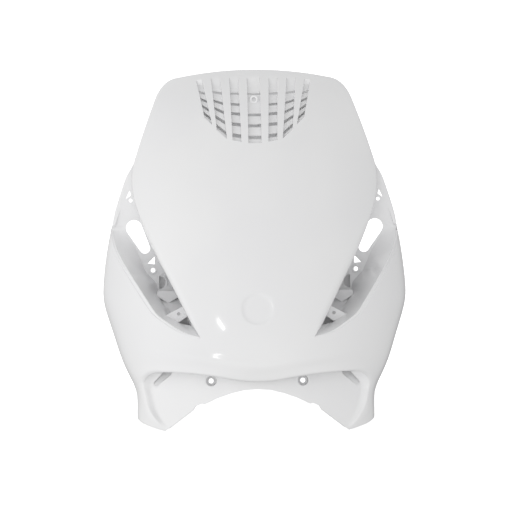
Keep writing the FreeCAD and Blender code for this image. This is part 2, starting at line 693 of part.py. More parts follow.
os.makedirs("parts", exist_ok=True)
front_panel = build()
front_panel.translate(V(0, -SCREW_SEAT, -SCREW_HEIGHT))
front_panel.exportStep("parts/front_panel.step")
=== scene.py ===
import math

import bmesh
import bpy
import numpy as np
from mathutils import Matrix, Vector


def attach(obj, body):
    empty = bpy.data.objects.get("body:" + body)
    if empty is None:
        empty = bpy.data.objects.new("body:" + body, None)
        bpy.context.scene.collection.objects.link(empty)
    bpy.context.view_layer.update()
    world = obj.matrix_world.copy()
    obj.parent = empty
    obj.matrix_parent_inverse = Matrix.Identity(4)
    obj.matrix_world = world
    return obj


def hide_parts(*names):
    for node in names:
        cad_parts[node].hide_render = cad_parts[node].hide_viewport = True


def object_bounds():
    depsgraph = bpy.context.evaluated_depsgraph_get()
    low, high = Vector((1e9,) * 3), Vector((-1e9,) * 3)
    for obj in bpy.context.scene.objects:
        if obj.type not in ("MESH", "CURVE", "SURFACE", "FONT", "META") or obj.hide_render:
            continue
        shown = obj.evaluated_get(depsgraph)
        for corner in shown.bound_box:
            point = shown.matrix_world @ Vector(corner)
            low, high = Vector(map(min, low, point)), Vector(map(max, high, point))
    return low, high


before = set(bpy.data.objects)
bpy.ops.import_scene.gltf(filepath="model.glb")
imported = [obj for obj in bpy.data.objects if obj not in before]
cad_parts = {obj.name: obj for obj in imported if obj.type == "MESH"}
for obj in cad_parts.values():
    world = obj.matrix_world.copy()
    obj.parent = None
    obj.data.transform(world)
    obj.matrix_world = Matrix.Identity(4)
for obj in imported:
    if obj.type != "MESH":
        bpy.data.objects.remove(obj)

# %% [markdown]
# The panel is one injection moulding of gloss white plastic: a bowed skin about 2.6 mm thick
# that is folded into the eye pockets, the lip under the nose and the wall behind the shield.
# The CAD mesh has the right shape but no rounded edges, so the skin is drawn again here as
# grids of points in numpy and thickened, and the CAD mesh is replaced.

cad_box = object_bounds()
SCREW_X, SCREW_Z = 63.5, 68.3
ORIGIN = np.array([0.0, 52.0, SCREW_Z])
PER_METRE = 1000
WALL = 2.6
print("CAD box in metres:", [list(map(float, corner)) for corner in cad_box])

# %% [markdown]
# Sizes are drawn in millimetres: x to the right, y back from the nose, z up from the lobes.
# Every long line of the panel is a smooth curve through a few measured points. A natural cubic
# spline is used because it has no sudden change of bend, which gloss would show at once.

# %% Smooth lines
def through(pairs):
    """Natural cubic spline: the bends at the points solve one linear system."""
    at, value = np.array(pairs, float).T
    gap = np.diff(at)
    size = len(at)
    mid = np.arange(1, size - 1)
    system = np.eye(size)
    system[mid, mid - 1] = gap[:-1]
    system[mid, mid] = 2 * (gap[:-1] + gap[1:])
    system[mid, mid + 1] = gap[1:]
    slope = np.diff(value) / gap
    right = np.zeros(size)
    right[mid] = 6 * np.diff(slope)
    bend = np.linalg.solve(system, right)

    def line(x):
        """A cubic of the two nearest bends, plus the straight part that meets both points."""
        x = np.asarray(x, float)
        i = np.clip(np.searchsorted(at, x) - 1, 0, size - 2)
        a, b, g = at[i + 1] - x, x - at[i], gap[i]
        cubic = (bend[i] * a ** 3 + bend[i + 1] * b ** 3) / (6 * g)
        straight = (value[i] / g - bend[i] * g / 6) * a + (value[i + 1] / g - bend[i + 1] * g / 6) * b
        return cubic + straight

    return line


def corners(pairs):
    """Straight pieces through the points, for lines that have real corners."""
    at, value = np.array(pairs, float).T
    return lambda x: np.interp(x, at, value)


def way(value, start, end):
    """Share of the way from start to end, held between 0 and 1."""
    return np.clip((value - start) / (end - start), 0, 1)


def smooth(share):
    """Smooth step: the share squared, times three less twice the share."""
    return share * share * (3 - 2 * share)


def mix(first, last, share):
    """Straight blend: the rest of the share of the first and the share of the last."""
    return first * (1 - share) + last * share


half_width = through([(-10, 164), (0, 164.5), (20, 165.3), (44, 165.5), (56, 167.5), (70, 173.6),
                      (95, 185), (129, 196.4), (160, 206.3), (182, 211.3), (190, 211.8), (208, 211),
                      (249, 206), (291, 197.4), (333, 187), (371, 183), (420, 182), (470, 180),
                      (510, 178)])
nose_line = through([(-10, 58), (0, 52), (30, 34), (50, 23), (67, 14.5), (80, 8.5), (95, 4),
                     (120, 0.6), (140, 0), (165, 0.8), (200, 3.5), (250, 11), (300, 22), (350, 37),
                     (400, 56), (440, 75), (470, 93), (490, 108), (510, 125)])
side_depth = through([(-10, 50), (0, 55), (30, 70), (67, 92), (95, 105), (130, 118), (165, 125),
                      (187, 127), (250, 118), (300, 97), (345, 80), (400, 76), (460, 72), (510, 70)])
print("width at a height of 190 mm: %.1f mm" % float(2 * half_width(190)))

# %% [markdown]
# The skin is one surface over the front view. Each height has a rounded section between the nose
# line and the side, so one formula gives the depth of every point. A low bead over the lip
# catches the light there, as on the real chin.

# %% Skin
SQUARE_FROM, SQUARE_FULL = 92.0, 40.0
CHIN_BEAD, BEAD_WIDTH, BEAD_REACH = 2.6, 9.0, 130.0
CREST, CREST_RISE, CREST_ROUND = 85.0, 0.17, 25.0


def skin(x, z):
    """Nose line plus a share of a rounded section, an ellipse above and squarer below the lip.

    A low bead, a bell curve of the height above or below its crest, swells over the lip. The
    crest rises to both sides like a smile.
    """
    share = np.clip(np.abs(x) / half_width(z), 0, 1)
    power = 2 + 2 * smooth(way(z, SQUARE_FROM, SQUARE_FULL))
    section = 1 - np.sqrt(np.maximum(0, 1 - share ** power))
    crest = CREST + CREST_RISE * np.sqrt(x * x + CREST_ROUND ** 2)
    bead = CHIN_BEAD * np.exp(-((z - crest) / BEAD_WIDTH) ** 2 - (x / BEAD_REACH) ** 4)
    return nose_line(z) + side_depth(z) * section - bead


print("depth at the nose %.1f mm and at the cheek %.1f mm" % (skin(0, 140), skin(200, 190)))

# %% [markdown]
# The edge of the shield is followed once, from the tip of the eye up the side, round the corner
# and along the top to the middle. Everything that hangs on that edge uses the same points, so
# neighbouring grids share their border points and can be welded without a seam. The points along
# the top stand where the lines of the grille come up.

# %% Lines of the grille
COLUMN_WALL, MIDDLE_COLUMN, MIDDLE_FOOT = 0.4, 8.7, 397.6
GRILLE_AT, GRILLE_TOP, GRILLE_RAMP, GRILLE_DEPTH = 469.0, 489.0, 480.0, 6.0
# Columns beside the middle one: inner and outer edge, lean, foot height at both edges.
SIDE_COLUMNS = [(21.1, 32.7, 0.03, 399.3, 401.5), (45.0, 57.0, 0.09, 404.0, 416.0),
                (68.4, 75.9, 0.2, 424.0, 433.0)]
GRILLE_EDGE = (84.0, 0.0, 438.0, 0)


def column_lines(inside, outside, lean, foot_inside, foot_outside):
    """Lines of a sunk column: its two edges, each with a line on the skin one wall further out.

    A line is its half width at the row height, its lean, its foot height, and 1 where it is sunk.
    """
    return [(inside - COLUMN_WALL, lean, foot_inside, 0), (inside, lean, foot_inside, 1),
            (outside, lean, foot_outside, 1), (outside + COLUMN_WALL, lean, foot_outside, 0)]


middle_lines = column_lines(-MIDDLE_COLUMN, MIDDLE_COLUMN, 0, MIDDLE_FOOT, MIDDLE_FOOT)[2:]
side_lines = sum([column_lines(*column) for column in SIDE_COLUMNS], [])
GRILLE = np.array([(0, 0, MIDDLE_FOOT, 1)] + middle_lines + side_lines + [GRILLE_EDGE])
frame_x = GRILLE[:, 0] + GRILLE[:, 1] * (GRILLE_TOP - GRILLE_AT)
print("grille has", len(GRILLE), "lines from the middle to its right edge")

# %% Edge of the shield
TIP, TIP_X, TIP_DRAW = 128.5, 79.2, 5.0
STRIP_TOP, FRAME_FOOT, CORNER_START = 372.0, 391.0, 455.0
SHIELD_TOP, TOP_RADIUS, ARC_END, BACK = 501.5, 524.0, 104.0, 128.0
CORNER_PULL, CORNER_POINTS = (24.5, -2.5), 16
EDGE, EDGE_FULL, EYE_ROLL = 2.4, 8.0, 5.5
EYE_ROLL_RISE, EYE_ROLL_FALL = (131.0, 161.0), (305.0, 260.0)
# Heights of the rows of points, close together at the tip of the eye and at the neck above it.
TIP_ROWS, EYE_ROWS = [TIP, 129.2, 130.2, 131.6, 133.4, 136, 139], np.linspace(142.5, 279, 46)
NECK_ROWS, STRIP_ROWS = [280.2, 281.4, 282.6, 283.8, 285, 287], np.linspace(290, STRIP_TOP, 26)
MID_STEPS, HIGH_STEPS, SHOULDER_STEPS = 5, 20, 4
shield_edge = through([(129, 79), (143, 87.8), (171, 102.6), (204, 118.8), (252, 142.5),
                       (294, 159.5), (322, 168), (347, 170.6), (363, 169.6), (386, 163.5),
                       (423.5, 151), (CORNER_START, 139.5)])


def at_tip(line, z):
    """A line drawn over to the tip of the eye in its last few millimetres."""
    return mix(line(z), TIP_X, way(z, TIP + TIP_DRAW, TIP) ** 2)


def top_arc(x):
    """Height of the arched top edge."""
    return SHIELD_TOP - TOP_RADIUS + np.sqrt(TOP_RADIUS ** 2 - x * x)


def across(heading):
    """Unit vectors at right angles to a heading in the front view, to its right-hand side."""
    result = np.stack([heading[:, 1], -heading[:, 0]], 1)
    return result / np.linalg.norm(result, axis=1)[:, None]


low_rows = np.concatenate([TIP_ROWS, EYE_ROWS, NECK_ROWS, STRIP_ROWS])
mid_rows = np.linspace(STRIP_TOP, FRAME_FOOT, MID_STEPS + 1)[1:]
high_rows = np.linspace(FRAME_FOOT, CORNER_START, HIGH_STEPS + 1)[1:]
side_rows = np.concatenate([low_rows, mid_rows, high_rows])
side = np.stack([at_tip(shield_edge, side_rows), side_rows], 1)
arc_end = np.array([ARC_END, top_arc(ARC_END)])
t = np.linspace(0, 1, CORNER_POINTS + 1)[1:, None]
corner = side[-1] * (1 - t) ** 2 + 2 * (arc_end + CORNER_PULL) * t * (1 - t) + arc_end * t * t
shoulder_x = np.linspace(ARC_END, frame_x[-1], SHOULDER_STEPS + 1)[1:]
arc_x = np.concatenate([shoulder_x, frame_x[::-1][1:]])
arc = np.stack([arc_x, top_arc(arc_x)], 1)
edge = np.concatenate([side, corner, arc])
edge_heading = np.gradient(edge, axis=0)
edge_heading[-1] = (-1, 0)
outward = across(edge_heading)
swell = way(edge[:, 1], *EYE_ROLL_RISE) * way(edge[:, 1], *EYE_ROLL_FALL)
edge_radius = EDGE * way(edge[:, 1], TIP, TIP + EDGE_FULL) + EYE_ROLL * smooth(swell)
rolled = edge - outward * edge_radius[:, None]
AT_STRIP = len(low_rows) - 1
AT_FRAME = AT_STRIP + len(mid_rows)
AT_CORNER = AT_FRAME + len(high_rows) + CORNER_POINTS // 2
AT_ARC = len(edge) - len(frame_x)
print("shield edge has", len(edge), "points on the right half")

# %% [markdown]
# A plastic edge is never sharp: the mould is rounded there. A Bevel modifier could round it, but
# not with a radius that grows along the eye. A roll carries the skin over a quarter circle and
# then straight back. Its depth is the skin's depth plus the drop of the circle, so that it leaves
# the skin without a crease.

# %% Rolls and grids
def on_skin(flat):
    """Front-view points (x, z) laid on the skin."""
    x, z = flat[..., 0], flat[..., 1]
    return np.stack([x, skin(x, z), z], -1)


def roll(line, away, radius, steps=7):
    """Quarter circle over an edge: the drop is radius times one minus the cosine of the turn."""
    turn = np.linspace(0, math.pi / 2, steps)[None, :]
    back = radius[:, None] * (1 - np.sin(turn))
    points = on_skin(line[:, None, :] - away[:, None, :] * back[..., None])
    points[..., 1] += radius[:, None] * (1 - np.cos(turn))
    return points


def between(first, last, steps):
    """Straight lines between two rows of points, with the first row itself left out."""
    t = np.linspace(0, 1, steps + 1)[1:]
    return mix(first[:, None, :], last[:, None, :], t[None, :, None])


def moved(points, depth):
    """The same points at another depth."""
    result = points.copy()
    result[:, 1] = depth
    return result


def coons(bottom, top, left, right):
    """Grid inside four border lines: two straight blends added, the corner blend taken off."""
    u = np.linspace(0, 1, len(bottom))[None, :, None]
    v = np.linspace(0, 1, len(left))[:, None, None]
    upright = mix(bottom[None], top[None], v)
    level = mix(left[:, None], right[:, None], u)
    return upright + level - mix(mix(bottom[0], bottom[-1], u), mix(top[0], top[-1], u), v)


shield_wall = roll(edge, outward, edge_radius)
print("rolled edge of the shield:", shield_wall.shape)

# %% [markdown]
# The eye pocket takes the indicator lamp. From the edge of the shield its wall drops to a
# sloping floor, and an outer wall climbs again to the rim of the cheek. It could be cut into a
# block, but as one section carried up the height it keeps the wall even and opens softly from
# the tip.

# %% Eye pocket
eye_rim = through([(129, 81), (137, 102), (148, 120), (158, 134), (172, 145.5), (193, 158.7),
                   (221, 175.8), (251, 191.5), (268, 196.3), (279, 197.6)])
eye_foot = corners([(129, 80), (146, 100), (160, 115), (178, 129), (194, 135), (204, 137),
                    (220, 152), (253, 166), (279, 182), (309, 187)])
floor_line = through([(129, 26), (140, 44), (155, 68), (172, 98), (190, 118), (205, 124),
                      (250, 115.8), (309, 104)])
strip_line = through([(283, 198.6), (291, 197.4), (333, 185.5), (361, 175), (STRIP_TOP, 169.5)])
STRIP_DEPTH, RIM_LAND, TIP_OPEN, FLOOR_RAMP, FLOOR_END = 104.0, 3.0, 9.0, 20.0, 309.0
STRIP_FROM, STRIP_FULL, STRIP_TAPER = 280.0, 285.5, 350.0
NECK_X, NECK_Z, NECK_LEAN = 193.8, 286.0, 7.8 / 23
RIM_SHARE, FOOT_SHARE, FOOT_ROOM, WALL_SHARE = 0.76, 0.7, 0.5, 0.2
SIDE_STEPS, BACK_STEPS, FLOOR_STEPS, CLIMB_STEPS = 6, 8, 14, 8
# Above these heights the lines of the pocket and the cheek go straight up into the strip.
RIM_TOP, FOOT_TOP, SKIN_TOP, ROLL_TOP, CHEEK_TOP = 279.0, 284.0, 281.0, 283.0, 286.0

z = low_rows
inner = edge[:AT_STRIP + 1, 0]
drop = shield_wall[:, -1, 1]
start = drop[:AT_STRIP + 1]
opened = way(z, TIP, TIP + TIP_OPEN)
deep = np.where(z < FLOOR_END, floor_line(np.minimum(z, FLOOR_END)), STRIP_DEPTH)
pocket_floor = mix(start, np.maximum(deep, start), way(z, TIP, TIP + FLOOR_RAMP))
strip_side = mix(inner, strip_line(z), 1 - way(z, STRIP_TAPER, STRIP_TOP) ** 2)
to_strip = smooth(way(z, STRIP_FROM, STRIP_FULL))
neck = NECK_X - (z - NECK_Z) * NECK_LEAN
rim_high = np.where(z < FLOOR_END, neck, mix(inner, strip_side, RIM_SHARE))
rim = mix(at_tip(eye_rim, np.minimum(z, RIM_TOP)), rim_high, to_strip)
foot_low = np.minimum(at_tip(eye_foot, np.minimum(z, FOOT_TOP)), rim - FOOT_ROOM * opened)
foot = mix(foot_low, mix(inner, rim, FOOT_SHARE), to_strip)
rim_skin = skin(rim, np.minimum(z, SKIN_TOP)) + RIM_LAND * opened
rim_depth = np.minimum(mix(rim_skin, pocket_floor, to_strip), pocket_floor)

wall_depth = np.maximum(STRIP_DEPTH, mix(drop, BACK, WALL_SHARE))
wall_depth[:AT_STRIP + 1] = pocket_floor
wall_foot = moved(shield_wall[:, -1], wall_depth)
shield_side = np.concatenate([shield_wall, between(shield_wall[:, -1], wall_foot, SIDE_STEPS)], 1)
to_back = between(wall_foot, moved(wall_foot, BACK), BACK_STEPS)
return_wall = np.concatenate([wall_foot[:, None], to_back], 1)[AT_STRIP:]

floor_in = np.stack([inner, pocket_floor, z], 1)
floor_out = np.stack([foot, pocket_floor, z], 1)
rim_point = np.stack([rim, rim_depth, z], 1)
eye_plate = np.concatenate([floor_in[:, None], between(floor_in, floor_out, FLOOR_STEPS),
                            between(floor_out, rim_point, CLIMB_STEPS)], 1)
print("deepest point of the pocket floor: %.1f mm" % pocket_floor.max())

# %% [markdown]
# The cheek is the skin outside the eye. Its rim is rolled like the shield's edge, and beside the
# rim runs a flat band, sunk by less than a millimetre. Columns of the grid are close together
# across the band and then share out the angle that is left to the side.

# %% Cheek
RIM_EDGE, RIM_BAND, BAND_DEPTH, BAND_EDGE = 1.5, 4.6, 0.9, 0.5
BAND_FULL, BAND_ROOM, LEAST_ROOM = 8.0, 14.0, 0.2
BAND_STEPS = np.array([0, 1.6, 3.2, 4.0, 4.4, 4.8, 5.2, 6.0, 7.6, 9.6])
CHEEK_COLUMNS, RIM_POINTS = 40, 5

quarter = np.linspace(math.pi / 2, 0, RIM_POINTS)[None, :]
rim_radius = (RIM_EDGE * opened)[:, None]
rim_x = rim[:, None] + rim_radius * (1 - np.sin(quarter))
cheek_start = rim_x[:, -1:]
cheek_z = np.minimum(z, CHEEK_TOP)[:, None]
cheek_half = half_width(cheek_z)
room = way(cheek_half - cheek_start, 0, BAND_ROOM)
near_rim = np.arcsin(np.clip((cheek_start + BAND_STEPS * room) / cheek_half, -1, 1))
beyond = np.linspace(0, 1, CHEEK_COLUMNS - len(BAND_STEPS) + 1)[None, 1:]
cheek_angle = np.concatenate([near_rim, mix(near_rim[:, -1:], math.pi / 2, beyond)], 1)
cheek_x = cheek_half * np.sin(cheek_angle)
from_rim = (cheek_x - cheek_start) / np.maximum(room, LEAST_ROOM)
band = way(from_rim, RIM_BAND + BAND_EDGE, RIM_BAND - BAND_EDGE)
sunk_band = BAND_DEPTH * smooth(band * way(z, TIP, TIP + BAND_FULL)[:, None])
cheek_y = skin(cheek_x, cheek_z) + sunk_band
roll_skin = skin(rim_x, np.minimum(z, ROLL_TOP)[:, None])
cheek_roll_y = roll_skin + rim_radius * (1 - np.cos(quarter)) + sunk_band[:, :1]
print("cheek grid:", cheek_x.shape)

# %% [markdown]
# Above the rim the cheek runs out into a narrow set-back strip that ends at the shield. The
# strip is a second section with as many columns, and a smooth step of the height blends the
# cheek's section into it, so that no extra seam is needed.

# %% Strip above the cheek
STEP_RADIUS, STEP_SHARE, STRIP_RADIUS = 1.0, 0.4, 2.2
FLAT_END, ROUND_END, LAND_STEPS = 0.4, 0.6, 3

step_height = np.maximum(pocket_floor - STRIP_DEPTH, 0)
step_radius = np.minimum(STEP_RADIUS, step_height * STEP_SHARE)[:, None]
strip_roll_x = rim[:, None] + step_radius * (1 - np.sin(quarter))
strip_roll_y = STRIP_DEPTH + step_radius * (1 - np.cos(quarter))
blend = to_strip[:, None]
rim_roll = np.stack([mix(rim_x, strip_roll_x, blend), mix(cheek_roll_y, strip_roll_y, blend),
                     np.broadcast_to(z[:, None], rim_x.shape)], -1)
land = np.concatenate([rim_point[:, None], between(rim_point, rim_roll[:, 0], LAND_STEPS)], 1)

share = np.linspace(0, 1, CHEEK_COLUMNS)[None, :]
width = np.maximum(strip_side - strip_roll_x[:, -1], 0)[:, None]
strip_radius = np.minimum(STRIP_RADIUS, width / 2)
flat_part = way(share, 0, FLAT_END)
round_part = way(share, FLAT_END, ROUND_END) * math.pi / 2
wall_part = way(share, ROUND_END, 1)
strip_x = strip_roll_x[:, -1:] + (width - strip_radius) * flat_part + strip_radius * np.sin(round_part)
strip_y = STRIP_DEPTH + strip_radius * (1 - np.cos(round_part))
strip_y = strip_y + (BACK - STRIP_DEPTH - strip_radius) * wall_part
cheek = np.stack([mix(cheek_x, strip_x, blend), mix(cheek_y, strip_y, blend),
                  np.broadcast_to(z[:, None], cheek_x.shape)], -1)
outer_side = np.concatenate([land, rim_roll[:, 1:], cheek[:, 1:]], 1)
across_count = shield_side.shape[1] + eye_plate.shape[1] + outer_side.shape[1]
print("pocket section has", across_count, "points across")

# %% [markdown]
# The grille lets air to the horn. Seven sunk columns with slats stand in the skin; behind each
# slot a shelf slopes up, so that no water is thrown through. Booleans would leave hard, messy
# corners, so the grid has a line on every column edge and slot edge: depth jumps between
# neighbouring lines make the walls.

# %% Grille
ROW_SHARE = np.array([0.163, 0.352, 0.52, 0.705, 0.905])
ROW_SHARE_SIDE = np.array([0.214, 0.423, 0.635, 0.852, 1.0])
ROW_HEIGHT = np.array([3.2, 3.6, 4.2, 4.8, 5.2])
SLOT_DEPTH, SHELF_DEPTH, SHELF_RISE = 9.0, 12.0, 1.5
SLOT_FOOT, SLOT_WALL, SLAT_TOP = 0.6, 0.9, 0.5
# The outermost column has no lowest slot, and the screw takes the place of one in the middle.
OUTER_FROM, OUTER_BLANK, SCREW_TO, SCREW_BLANK = 11, 4, 1, 1
BLANK_RISE, BLANK_HALF = 1.0, 0.2
FRAME_GAP, FRAME_ROOM = 5.0, 1.5

foot_z, sunk = GRILLE[:, 2], GRILLE[:, 3]
outer_column = np.arange(len(GRILLE)) >= OUTER_FROM
screw_column = np.arange(len(GRILLE)) <= SCREW_TO
lines = [np.full_like(foot_z, FRAME_FOOT), foot_z, foot_z + COLUMN_WALL]
depths = [0 * sunk, 0 * sunk, GRILLE_DEPTH * sunk]
vents = []
for row in reversed(range(len(ROW_HEIGHT))):
    row_share = np.where(outer_column, ROW_SHARE_SIDE[row], ROW_SHARE[row])
    no_room = outer_column & (row == OUTER_BLANK)
    centre = np.where(no_room, foot_z + BLANK_RISE, GRILLE_RAMP - row_share * (GRILLE_RAMP - foot_z))
    half = np.where(no_room, BLANK_HALF, ROW_HEIGHT[row] / 2)
    blank = no_room | (screw_column & (row == SCREW_BLANK))
    reach = np.where(blank, 0.0, sunk)
    lines += [centre - half, centre - half * SLOT_WALL, centre + (half + SHELF_RISE) * reach,
              centre + half]
    behind = np.array([SLOT_FOOT, SLOT_DEPTH, SHELF_DEPTH, -SLAT_TOP])[:, None] * reach
    depths += list((GRILLE_DEPTH + behind) * sunk)
    vents.append((len(lines) - 2, ~blank))
frame_z = top_arc(frame_x) - EDGE - FRAME_GAP
lines += [np.full_like(foot_z, GRILLE_RAMP), np.minimum(GRILLE_TOP, frame_z - FRAME_ROOM), frame_z]
depths += [GRILLE_DEPTH * sunk, 0 * sunk, 0 * sunk]
grille_z = np.array(lines)
grille_x = GRILLE[:, 0] + GRILLE[:, 1] * (np.minimum(grille_z, GRILLE_TOP) - GRILLE_AT)
grille_x[-1] = frame_x
grille = on_skin(np.stack([grille_x, grille_z], -1))
grille[..., 1] += np.array(depths)
grille_keep = np.ones((len(grille_z) - 1, len(GRILLE) - 1), bool)
floors = (sunk[:-1] == 1) & (sunk[1:] == 1)
for row, open_slot in vents:
    grille_keep[row] &= ~(floors & open_slot[:-1] & open_slot[1:])
print("grille slots on the right half:", int((~grille_keep).sum()))

# %% [markdown]
# The shield itself is three plain grids around the grille: below it, beside it and above it.
# Their borders are the grille's border, the rolled edge and the middle line. A Coons blend fills
# each from its borders alone, and the skin's formula gives the depth.

# %% Shield
ABOVE_ROWS = 3

frame_bottom = np.stack([grille_x[0], grille_z[0]], 1)
beside = np.linspace(0, 1, AT_ARC - AT_CORNER + 1)[1:, None]
to_edge = mix(frame_bottom[-1], rolled[AT_FRAME], beside)
tip_share = np.linspace(0, 1, len(frame_x) + AT_ARC - AT_CORNER)[:, None]
tip_row = tip_share * (TIP_X, 0) + (0, TIP)
centre_line = np.stack([0 * side_rows[:AT_FRAME + 1], side_rows[:AT_FRAME + 1]], 1)
lower_top = np.concatenate([frame_bottom, to_edge])
lower = on_skin(coons(tip_row, lower_top, centre_line, rolled[:AT_FRAME + 1]))

above_share = np.linspace(0, 1, ABOVE_ROWS + 1)[1:, None, None]
frame_top = np.stack([grille_x[-1], grille_z[-1]], 1)[None]
arc_row = rolled[AT_ARC:][::-1][None]
upper_flat = np.concatenate([frame_top, mix(frame_top, arc_row, above_share)])
upper = on_skin(upper_flat)

inner_side = np.concatenate([np.stack([grille_x[:, -1], grille_z[:, -1]], 1), upper_flat[1:, -1]])
outer_edge = rolled[AT_FRAME:AT_CORNER + 1]
assert len(inner_side) == len(outer_edge), (len(inner_side), len(outer_edge))
corner_row = rolled[AT_CORNER:AT_ARC + 1][::-1]
beside_bottom = np.concatenate([frame_bottom[-1:], to_edge])
beside_grid = on_skin(coons(beside_bottom, corner_row, inner_side, outer_edge))
print("shield grids:", lower.shape, upper.shape, beside_grid.shape)

# %% [markdown]
# Low on the shield is a round seat, less than a millimetre deep. A bump texture would show it
# from the front only, so it is real form: it takes the place of a block of cells, whose border
# is drawn in to a circle, down a bevel and on to the middle.

# %% Round seat
SEAT_RADIUS, SEAT_Z, SEAT_DEPTH, SEAT_BEVEL, SEAT_BLOCK = 21.0, 168.0, 0.7, 1.6, 25.0
SEAT_FIRST, SEAT_LAST = 7, 24
SEAT_COLUMN = int(np.searchsorted(lower[SEAT_FIRST, :, 0], SEAT_BLOCK))
SEAT_DRAWN = np.array([0, 0.35, 0.7])
SEAT_RINGS = np.array([SEAT_RADIUS + SEAT_BEVEL / 2, SEAT_RADIUS, SEAT_RADIUS - SEAT_BEVEL / 2,
                       15, 10, 5, 0])
SEAT_SINK = np.array([0, 0, 0, 0, 0.5, 1, 1, 1, 1, 1])


def round_seat(grid):
    """Rings from the border of the block to the middle, each at the angle of its border point."""
    block = np.concatenate([grid[SEAT_FIRST, :SEAT_COLUMN], grid[SEAT_FIRST:SEAT_LAST, SEAT_COLUMN],
                            grid[SEAT_LAST, SEAT_COLUMN::-1]])[:, ::2]
    turn = np.arctan2(block[:, 1] - SEAT_Z, block[:, 0])
    dish = np.stack([np.cos(turn), np.sin(turn)], 1) * SEAT_RINGS[:, None, None] + (0, SEAT_Z)
    points = on_skin(np.concatenate([mix(block, dish[0], SEAT_DRAWN[:, None, None]), dish]))
    points[..., 1] += SEAT_DEPTH * SEAT_SINK[:, None]
    return points


seat = round_seat(lower)
lower_keep = np.ones((lower.shape[0] - 1, lower.shape[1] - 1), bool)
lower_keep[SEAT_FIRST:SEAT_LAST, :SEAT_COLUMN] = False
print("seat rings:", seat.shape)

# %% [markdown]
# Below the nose the skin folds in over a lip to the recess that takes the front screws. The lip
# follows one border line from the middle round to the lobe tip. In the middle it is a tight
# roll; at the sides the skin passes into the wall by a soft fold, as thick plastic does there.

# %% Lip
BORDER = np.array([(0, 67), (25, 68.5), (42, 71.5), (66.7, 75.7), (84, 78), (112, 80.5), (130, 81),
                   (143, 79.5), (152, 74), (156.5, 65), (155.5, 52), (152, 36), (144, 20),
                   (127.5, -1.5)])
BORDER_TURN, FOLD_FROM, FOLD_FULL = 8, 6, 9
LIP, SIDE_LIP, LIP_LIMIT, FOLD = 3.2, 11.0, 0.8, 14.0
RECESS_MIDDLE, RECESS_BOW = 33.0, 0.0018
CHEEK_TURN, LOBE_ROWS, LIP_POINTS, LIP_STEPS = 20, 34, 8, 8


def lengths(points):
    """Length along a line of points, from its first one: the sum of the steps."""
    return np.concatenate([[0], np.cumsum(np.linalg.norm(np.diff(points, axis=0), axis=1))])


def recess_depth(x):
    """Depth of the bowed back wall: a parabola across."""
    return RECESS_MIDDLE + RECESS_BOW * x * x


def fold(points, reach, radius):
    """Soft fold at the sides: the skin passes into the wall by a smooth step of the distance."""
    x, z = points[..., 0], points[..., 2]
    share = smooth(way(reach, -radius, FOLD))
    return mix(skin(x, z), np.maximum(recess_depth(x), skin(x, z)), share)


# The border is mirrored before the spline is laid through it, so that the middle is smooth.
whole = np.concatenate([BORDER[:0:-1] * (-1, 1), BORDER])
whole_at = lengths(whole)
whole_at -= whole_at[len(BORDER) - 1]
border_at = whole_at[len(BORDER) - 1:]
border_x = through(np.stack([whole_at, whole[:, 0]], 1))
border_z = through(np.stack([whole_at, whole[:, 1]], 1))
chin_top = np.concatenate([tip_row, cheek[0, 1:CHEEK_TURN + 1, ::2]])
along = np.concatenate([np.linspace(0, border_at[BORDER_TURN], len(chin_top)),
                        np.linspace(border_at[BORDER_TURN], border_at[-1], LOBE_ROWS)[1:]])
border = np.stack([border_x(along), border_z(along)], 1)
border_heading = np.gradient(border, axis=0)
border_heading[0] = (1, 0)

back_depth = recess_depth(border[:, 0])
lip_depth = np.maximum(back_depth - skin(border[:, 0], border[:, 1]), 0)
aside = way(along, border_at[FOLD_FROM], border_at[FOLD_FULL])
lip_radius = np.minimum(mix(LIP, SIDE_LIP, aside), LIP_LIMIT * lip_depth)
lip_roll = roll(border, across(border_heading), lip_radius, LIP_POINTS)
lip_end = lip_roll[:, -1]
lip_foot = moved(lip_end, np.maximum(back_depth, lip_end[:, 1]))
lip = np.concatenate([lip_roll, between(lip_end, lip_foot, LIP_STEPS)], 1)
lip_reach = -np.linalg.norm(lip[..., ::2] - border[:, None], axis=-1)
lip[..., 1] = mix(lip[..., 1], fold(lip, lip_reach, lip_radius[:, None]), aside[:, None])
lip = np.swapaxes(lip, 0, 1)[::-1]
print("lip:", lip.shape)

# %% [markdown]
# The chin fills the skin between the tips of the eyes and the lip. On both sides the skin runs
# down into two lobes beside the mudguard. The lobe's columns share out the angle to the side, as
# the cheek's do, so both meet point by point.

# %% Chin and lobes
LOBE_FOOT, CHIN_ROWS = 17.5, 16

turn_at = len(chin_top) - 1
lip_start = lip_roll[:, 0, ::2]
rise = np.linspace(0, 1, CHIN_ROWS)[:, None]
chin_left = mix(lip_start[0], chin_top[0], rise)
chin_right = mix(lip_start[turn_at], chin_top[-1], rise)
chin = on_skin(coons(lip_start[:turn_at + 1], chin_top, chin_left, chin_right))

lobe_left = np.concatenate([lip_start[turn_at:][::-1], chin_right[1:]])
lobe_z = np.linspace(LOBE_FOOT, TIP, len(lobe_left))
lobe_share = way(cheek_angle[:1, CHEEK_TURN:], cheek_angle[0, CHEEK_TURN], math.pi / 2)
lobe_height = mix(lobe_left[:, 1:], lobe_z[:, None], lobe_share)
lobe_angle = np.arcsin(np.clip(lobe_left[:, :1] / half_width(lobe_left[:, 1:]), -1, 1))
lobe_x = half_width(lobe_height) * np.sin(mix(lobe_angle, math.pi / 2, lobe_share))
lobe = on_skin(np.stack([lobe_x, lobe_height], -1))
print("chin", chin.shape, "lobe", lobe.shape)

# %% [markdown]
# The back wall of the recess fills the space from the lip down to the arch over the mudguard.
# The arch has real corners at its two small notches, so its points are joined by straight lines.

